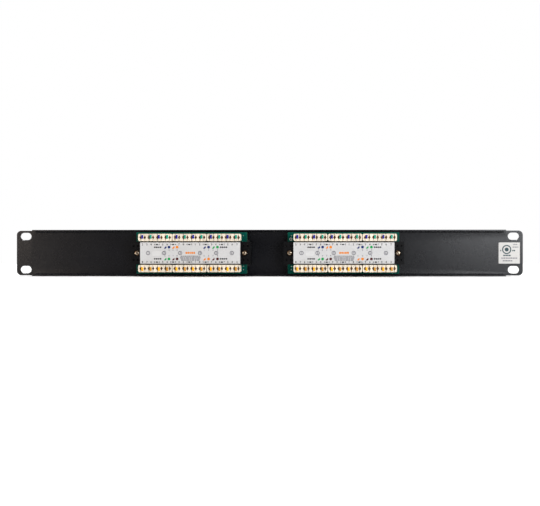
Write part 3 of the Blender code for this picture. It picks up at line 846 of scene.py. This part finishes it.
def block_cutters(size):
    """The diamond funnels over the clips, and shallow panels in the two long walls."""
    cutters = []
    scale = (CAVITY_HALF_X, CAVITY_HALF_Z)
    front = 1 + FUNNEL_SLOPE * (1 + REACH / FUNNEL_DEPTH)
    for _, left, right in slot_positions():
        for x in (left, right):
            centre = (x, (FUNNEL_DEPTH - REACH) / 2 - size.y, 0)
            cutters.append(cone_mesh("funnel", centre, 0.99, front, FUNNEL_DEPTH + REACH, 4, scale))
            centre = (x, SLIT_DEPTH / 2 - size.y, 0)
            cutters.append(cone_mesh("cavity", centre, 0.9, 1.0, SLIT_DEPTH - 0.1 * MM, 4, scale))
    for pair_x, _, _ in slot_positions():
        for side in (-1, 1):
            wall = side * size.z / 2
            half = WALL_PANEL_FILL * PAIR_PITCH
            low = (pair_x - half, WALL_PANEL_FOOT, wall - side * RECESS_DEPTH)
            high = (pair_x + half, SLIT_DEPTH + 1.0 * MM - size.y, wall + side * REACH)
            cutters.append(box_mesh("wall_panel", low, high))
    return cutters


def block_mesh(size):
    comb = prism_mesh("idc_block", comb_outline(size.x, size.y), size.z, XY_PLANE)
    steps = [("INTERSECT", block_envelope(size))] + cuts(block_cutters(size))
    return flattened(combined(comb, steps))


def clip_outline(height):
    """A forked clip with a lead-in V, as (x, y) points."""
    tip = CLIP_DEPTH - height
    right = [
        (CLIP_HALF, CLIP_ROOT_Y),
        (CLIP_HALF, tip + CLIP_SHOULDER),
        (CLIP_MOUTH, tip),
        (CLIP_THROAT, tip + CLIP_FORK),
        (CLIP_THROAT, CLIP_ROOT_Y - SLIT_DEPTH),
    ]
    left = [(-x, y) for x, y in reversed(right)]
    return right + left


def clips_mesh(height):
    """Eight forked clips, and a dark diamond below the fork's tips that paints the shade deep in
    each funnel.
    """
    clip = prism_mesh("clip", clip_outline(height), CLIP_THICKNESS, XY_PLANE)
    scale = (CAVITY_HALF_X, CAVITY_HALF_Z)
    centre = (0, SHADE_SEAT_DEPTH + SHADE_SEAT_HEIGHT / 2 - height, 0)
    seat = cone_mesh("seat", centre, 0.9, 0.97, SHADE_SEAT_HEIGHT, 4, scale)
    # The diamond takes the second material, the painted shade
    for face in seat.polygons:
        face.material_index = 1
    meshes = []
    for _, left, right in slot_positions():
        for x in (left, right):
            meshes += [shifted(clip.copy(), (x, 0, 0)), shifted(seat.copy(), (x, 0, 0))]
    return joined("idc_clips", meshes)


def marks_mesh(row, height):
    """The coloured caps on the short middle teeth, in two colours by turns."""
    meshes = []
    top = MIDDLE_DROP - height - MARK_RISE
    z = MARK_SHIFT[row]
    for index, (pair_x, _, _) in enumerate(slot_positions()):
        x = pair_x + MARK_OFFSET
        low = (x - MARK_HALF_X, top, z - MARK_HALF_Z)
        high = (x + MARK_HALF_X, MIDDLE_DROP - height + MARK_DEPTH, z + MARK_HALF_Z)
        mesh = box_mesh("mark", low, high)
        for face in mesh.polygons:
            face.material_index = index % 2
        meshes.append(mesh)
    return joined("idc_marks", meshes)


def build_blocks():
    """All twelve blocks are alike. The clips carry bronze and a dark metal that paints the shade in
    the funnels, and the caps two colours.
    """
    low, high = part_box("left_idc_top_1")
    size = high - low
    block = block_mesh(size)
    clips = clips_mesh(size.y)
    for row in ROWS:
        marks = marks_mesh(row, size.y)
        for side in SIDES:
            for number in (1, 2, 3):
                node = f"{side}_idc_{row}_{number}"
                low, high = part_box(node)
                foot = ((low.x + high.x) / 2, high.y, (low.z + high.z) / 2)
                body = shifted(block.copy(), foot)
                ivory_only, bronze_and_shade = ["ivory_plastic"], ["bronze", "painted_shade_bronze"]
                piece(node + "_block", body, ivory_only, [node], bevel=0.16 * MM)
                fork = shifted(clips.copy(), foot)
                piece(node + "_clips", fork, bronze_and_shade, bevel=0.05 * MM)
                caps, inks = shifted(marks.copy(), foot), MARK_INKS[row]
                piece(node + "_marks", caps, inks, bevel=0.3 * MM, segments=3)


# ---------------------------------------------------------------- boards and covers


def board_copper(name, low, high):
    """Raised tracks: a rail along each long edge, and feeders to it from the blocks' pins."""
    middle_x, rear = (low.x + high.x) / 2, low.y
    half_height = (high.z - low.z) / 2
    bm = bmesh.new()

    def track(x_low, x_high, z_low, z_high, width):
        half = width / 2
        corner = (x_low - half, rear - COPPER_RISE, z_low - half)
        far_corner = (x_high + half, rear + COPPER_SINK, z_high + half)
        bm.from_mesh(box_mesh("track", corner, far_corner))

    for side in (-1, 1):
        rail = side * (half_height - RAIL_INSET)
        track(middle_x - RAIL_HALF_LENGTH, middle_x + RAIL_HALF_LENGTH, rail, rail, RAIL_WIDTH)
        for index in range(TRACKS):
            along = (index - (TRACKS - 1) / 2) * PAIR_PITCH / 2
            x = middle_x + along + TRACK_SWAY * math.sin(index * 2.4)
            foot = side * (half_height - (1.3 + 0.5 * (index % 3)) * MM)
            track(x, x, min(foot, rail), max(foot, rail), TRACK_WIDTH)
    return mesh_of(bm, name)


def pad_ring(centre, outer, inner):
    """A tinned ring round a hole."""
    rim = cone_mesh("pad", centre, outer, outer, 0.12 * MM, 28)
    hole = cone_mesh("hole", centre, inner, inner, 1.0 * MM, 20)
    return combined(rim, cuts([hole]))


def build_boards():
    for side in SIDES:
        node = side + "_circuit_board"
        low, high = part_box(node)
        mesh = cad_shape(node)
        for face in mesh.polygons:
            face.material_index = 0 if abs(face.normal.y) > 0.5 else 1
        finishes = ["solder_mask", "board_edge"]
        piece(node + "_laminate", mesh, finishes, [node], bevel=0.12 * MM)
        tracks = board_copper(node + "_tracks", low, high)
        piece(node + "_tracks", tracks, ["solder_mask"])
        at = Vector((low.x + RING_INSET, low.y, RING_Z))
        rings = [pad_ring(at, 1.35 * MM, 0.85 * MM)]
        for x in (low.x + VIA_INSET, high.x - VIA_INSET):
            for z in VIA_ZS:
                rings.append(pad_ring(Vector((x, low.y, z)), 0.42 * MM, 0.2 * MM))
        piece(node + "_pads", joined("pads", rings), ["tin"])


def tab_details(centre_x, end):
    """The raised ring round a cover's screw, and the two ribs of its tab."""
    x = centre_x + end * SCREW_X
    centre = (x, TAB_FACE_Y - 0.1 * MM, 0)
    ring = cone_mesh("boss", centre, BOSS_RADIUS, BOSS_TOP_RADIUS, 0.9 * MM, 40)
    centre = (x, TAB_FACE_Y, 0)
    hole = cone_mesh("boss_hole", centre, BOSS_HOLE_RADIUS, BOSS_HOLE_RADIUS, 3 * MM, 40)
    details = [combined(ring, cuts([hole]))]
    for z in (-TAB_RIB_Z, TAB_RIB_Z):
        corner = (x - end * TAB_RIB_INNER, TAB_FACE_Y - 0.45 * MM, z - TAB_RIB_HALF)
        far_corner = (x + end * TAB_RIB_OUTER, TAB_FACE_Y + JOIN, z + TAB_RIB_HALF)
        details.append(box_mesh("tab_rib", corner, far_corner))
    return details


def build_covers():
    for side in SIDES:
        node = side + "_rear_cover"
        centre_x = middle(node).x
        details = tab_details(centre_x, -1) + tab_details(centre_x, 1)
        mesh = flattened(combined(cad_shape(node), joins(details)))
        piece(node + "_shell", mesh, ["cover_plastic"], [node], bevel=0.18 * MM)


# ---------------------------------------------------------------- screws


def screw_profile(radius, length):
    """Half section, as (radius, height) points about the seat under the head at height 0."""
    curve = CROWN_CURVE * radius
    crown = arc((0, HEAD - curve), curve, 90, 74, 5)
    rim = arc((radius - RIM, 0.55 * MM), RIM, 50, 0, 4)
    profile = [(max(r, 0), z) for r, z in crown] + rim
    profile += [(radius, 0.12 * MM), (radius - 0.12 * MM, 0), (SHANK, 0), (SHANK, -SHANK_COLLAR)]
    core = SHANK - THREAD_DEPTH
    for turn in range(int((length - THREAD_END) / THREAD_PITCH)):
        z = -SHANK_COLLAR - turn * THREAD_PITCH
        for r, part in ((core, 0.3), (SHANK, 0.6), (core, 0.9)):
            profile.append((r, z - part * THREAD_PITCH))
    profile += [(0.5 * SHANK, -length + 0.3 * MM), (0, -length)]
    return profile


def turned_mesh(name, profile, steps):
    """A profile turned about its own height axis, which is then laid along -Y."""
    mesh = bpy.data.meshes.new(name)
    edges = [(i, i + 1) for i in range(len(profile) - 1)]
    mesh.from_pydata([(radius, 0, height) for radius, height in profile], edges, [])
    holder = bpy.data.objects.new(name, mesh)
    bpy.context.scene.collection.objects.link(holder)
    turn = holder.modifiers.new("turn", "SCREW")
    turn.axis = "Z"
    turn.steps = steps
    turn.render_steps = steps
    turn.use_merge_vertices = True
    turn.merge_threshold = WELD
    turned = evaluated_mesh(holder, name)
    turned.transform(Matrix.Rotation(math.pi / 2, 4, "X"))
    return turned


def screw_mesh(radius, length):
    """A combination head: one slot right across it and a shorter arm that crosses the slot.

    The recess takes the second material, a darker metal that paints the shade in it.
    """
    screw = turned_mesh("screw", screw_profile(radius, length), TURNING_STEPS)
    low = (-2 * radius, -HEAD - REACH, -RECESS_HALF)
    slot = box_mesh("slot", low, (2 * radius, RECESS_FLOOR - HEAD, RECESS_HALF))
    centre = (0, 0.1 * MM - HEAD, 0)
    arm = cone_mesh("arm", centre, 0.8 * MM, 1.95 * MM, 2.2 * MM, 4, (0.32, 1.0))
    mesh = flattened(combined(screw, cuts([slot, arm])))
    # Faces inside the recess get the darker metal, a painted shade
    for face in mesh.polygons:
        reach = math.hypot(face.center.x, face.center.z)
        on_head = face.center.y < -0.3 * MM and reach < radius - 0.25 * MM
        on_crown = face.normal.y < -0.85 and face.center.y < 0.35 * MM - HEAD
        face.material_index = int(on_head and not on_crown)
    return mesh


def build_screws():
    for node, angle in SCREW_TURNS.items():
        low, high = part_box(node)
        seat = Vector(((low.x + high.x) / 2, low.y + HEAD, (low.z + high.z) / 2))
        mesh = screw_mesh((high.x - low.x) / 2, high.y - seat.y)
        mesh.transform(Matrix.Rotation(math.radians(angle), 4, "Y"))
        finishes = ["nickel", "painted_shade_bronze"]
        piece(node + "_steel", shifted(mesh, seat), finishes, [node], bevel=0.05 * MM)


# ---------------------------------------------------------------- sockets


def comb_ribs(middle_x):
    """Thin walls between the free ends of the contact wires, at the back of the socket."""
    ribs = []
    for index in range(CONTACTS + 1):
        x = middle_x + (index - CONTACTS / 2) * CONTACT_PITCH
        low = (x - COMB_HALF, COMB_Y[0], COMB_Z[0])
        ribs.append(box_mesh("comb_rib", low, (x + COMB_HALF, COMB_Y[1], COMB_Z[1])))
    return ribs


def wire_mesh(x):
    curve = bpy.data.curves.new("contact_wire", "CURVE")
    curve.dimensions = "3D"
    curve.bevel_depth = WIRE_RADIUS
    curve.bevel_resolution = 2
    curve.use_fill_caps = True
    spline = curve.splines.new("POLY")
    spline.points.add(len(WIRE_ROUTE) - 1)
    for point, (y, z) in zip(spline.points, WIRE_ROUTE):
        point.co = (x, y, z, 1)
    holder = bpy.data.objects.new("contact_wire", curve)
    bpy.context.scene.collection.objects.link(holder)
    return evaluated_mesh(holder, "contact_wire")


def contact_mesh():
    """Eight gold wires and their moulded strip, about the hinge line."""
    wires = [wire_mesh((i - (CONTACTS - 1) / 2) * CONTACT_PITCH) for i in range(CONTACTS)]
    gold = joined("wires", wires)
    outline = rounded_rectangle((0, 0), STRIP_SIDE, STRIP_SIDE, 0.18 * MM, 3)
    strip = prism_mesh("strip", outline, STRIP_LENGTH, YZ_PLANE)
    for face in strip.polygons:
        face.material_index = 1
    return joined("contacts", [gold, strip])


def build_sockets():
    """Each port's shell stays with the panel. Its wires and strip are laid out about the hinge
    line, in a body of their own.
    """
    contacts = contact_mesh()
    for port in PORTS:
        node = f"port_{port:02d}_jack"
        shell = flattened(combined(cad_shape(node), joins(comb_ribs(middle(node).x))))
        piece(node + "_shell", shell, ["jack_plastic"], [node], bevel=0.15 * MM)
        node = f"port_{port:02d}_contacts"
        low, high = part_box(node)
        half = STRIP_SIDE / 2
        hinge = Vector(((low.x + high.x) / 2, high.y - half, high.z - half))
        wires = shifted(contacts.copy(), hinge)
        finishes, body = ["gold", "strip_plastic"], f"port_{port:02d}_contact_set"
        piece(node + "_wires", wires, finishes, [node], body, smooth=50)


# ---------------------------------------------------------------- panel and frames


def build_panel():
    sheet = cad_shape("rack_panel")
    finishes, nodes = ["powder_coat"], ["rack_panel"]
    piece("rack_panel_sheet", sheet, finishes, nodes, bevel=0.45 * MM, segments=3)
    for side in SIDES:
        node = side + "_jack_frame"
        mesh = cad_shape(node)
        piece(node + "_shell", mesh, ["frame_plastic"], [node], bevel=0.2 * MM)


# ---------------------------------------------------------------- stage


def area_light(name, place, target, size, power, color):
    data = bpy.data.lights.new(name, "AREA")
    data.shape = "RECTANGLE"
    data.size, data.size_y = size
    data.energy = power
    data.color = color
    light = bpy.data.objects.new(name, data)
    light.location = place
    light.rotation_euler = (Vector(target) - Vector(place)).to_track_quat("-Z", "Y").to_euler()
    bpy.context.scene.collection.objects.link(light)


def build_world():
    """A white studio to look at, and a softer grey one as light on the object."""
    world = bpy.data.worlds.new("studio")
    world.use_nodes = True
    nodes, links = world.node_tree.nodes, world.node_tree.links
    nodes.clear()
    output = nodes.new("ShaderNodeOutputWorld")
    shown, lighting = nodes.new("ShaderNodeBackground"), nodes.new("ShaderNodeBackground")
    shown.inputs["Color"].default_value = (1, 1, 1, 1)
    lighting.inputs["Color"].default_value = (1, 1, 1, 1)
    lighting.inputs["Strength"].default_value = WORLD_LIGHT
    ray, mix = nodes.new("ShaderNodeLightPath"), nodes.new("ShaderNodeMixShader")
    links.new(ray.outputs["Is Camera Ray"], mix.inputs[0])
    links.new(lighting.outputs[0], mix.inputs[1])
    links.new(shown.outputs[0], mix.inputs[2])
    links.new(mix.outputs[0], output.inputs["Surface"])
    bpy.context.scene.world = world


def build_floor():
    """A pale disc just under the object's lowest point."""
    top = CAD_BOX[0][2] - FLOOR_CLEARANCE
    mesh = cone_mesh("studio_floor", (0, 0, 0), FLOOR_RADIUS, FLOOR_RADIUS, FLOOR_THICKNESS, 96)
    mesh.transform(Matrix.Rotation(math.pi / 2, 4, "X"))
    shifted(mesh, (0, 0, top - FLOOR_THICKNESS / 2))
    mesh.materials.append(FINISHES["studio_floor"])
    floor = bpy.data.objects.new("studio_floor", mesh)
    bpy.context.scene.collection.objects.link(floor)


def build_camera():
    data = bpy.data.cameras.new("camera")
    data.lens = CAMERA_LENS
    data.sensor_width = 36.0
    data.shift_x = CAMERA_SHIFT
    data.clip_start, data.clip_end = 0.01, 30.0
    camera = bpy.data.objects.new("camera", data)
    camera.location = (CAMERA_X, -CAMERA_DISTANCE, 0)
    camera.rotation_euler = (math.pi / 2, 0, math.radians(CAMERA_YAW))
    bpy.context.scene.collection.objects.link(camera)
    bpy.context.scene.camera = camera


bpy.context.scene.view_settings.view_transform = "Standard"
build_camera()
build_world()
for light in LIGHTS:
    area_light(*light)
build_floor()
build_panel()
build_port_numbers()
build_boards()
build_covers()
build_wiring_labels()
build_ear_label()
build_blocks()
build_screws()
build_sockets()
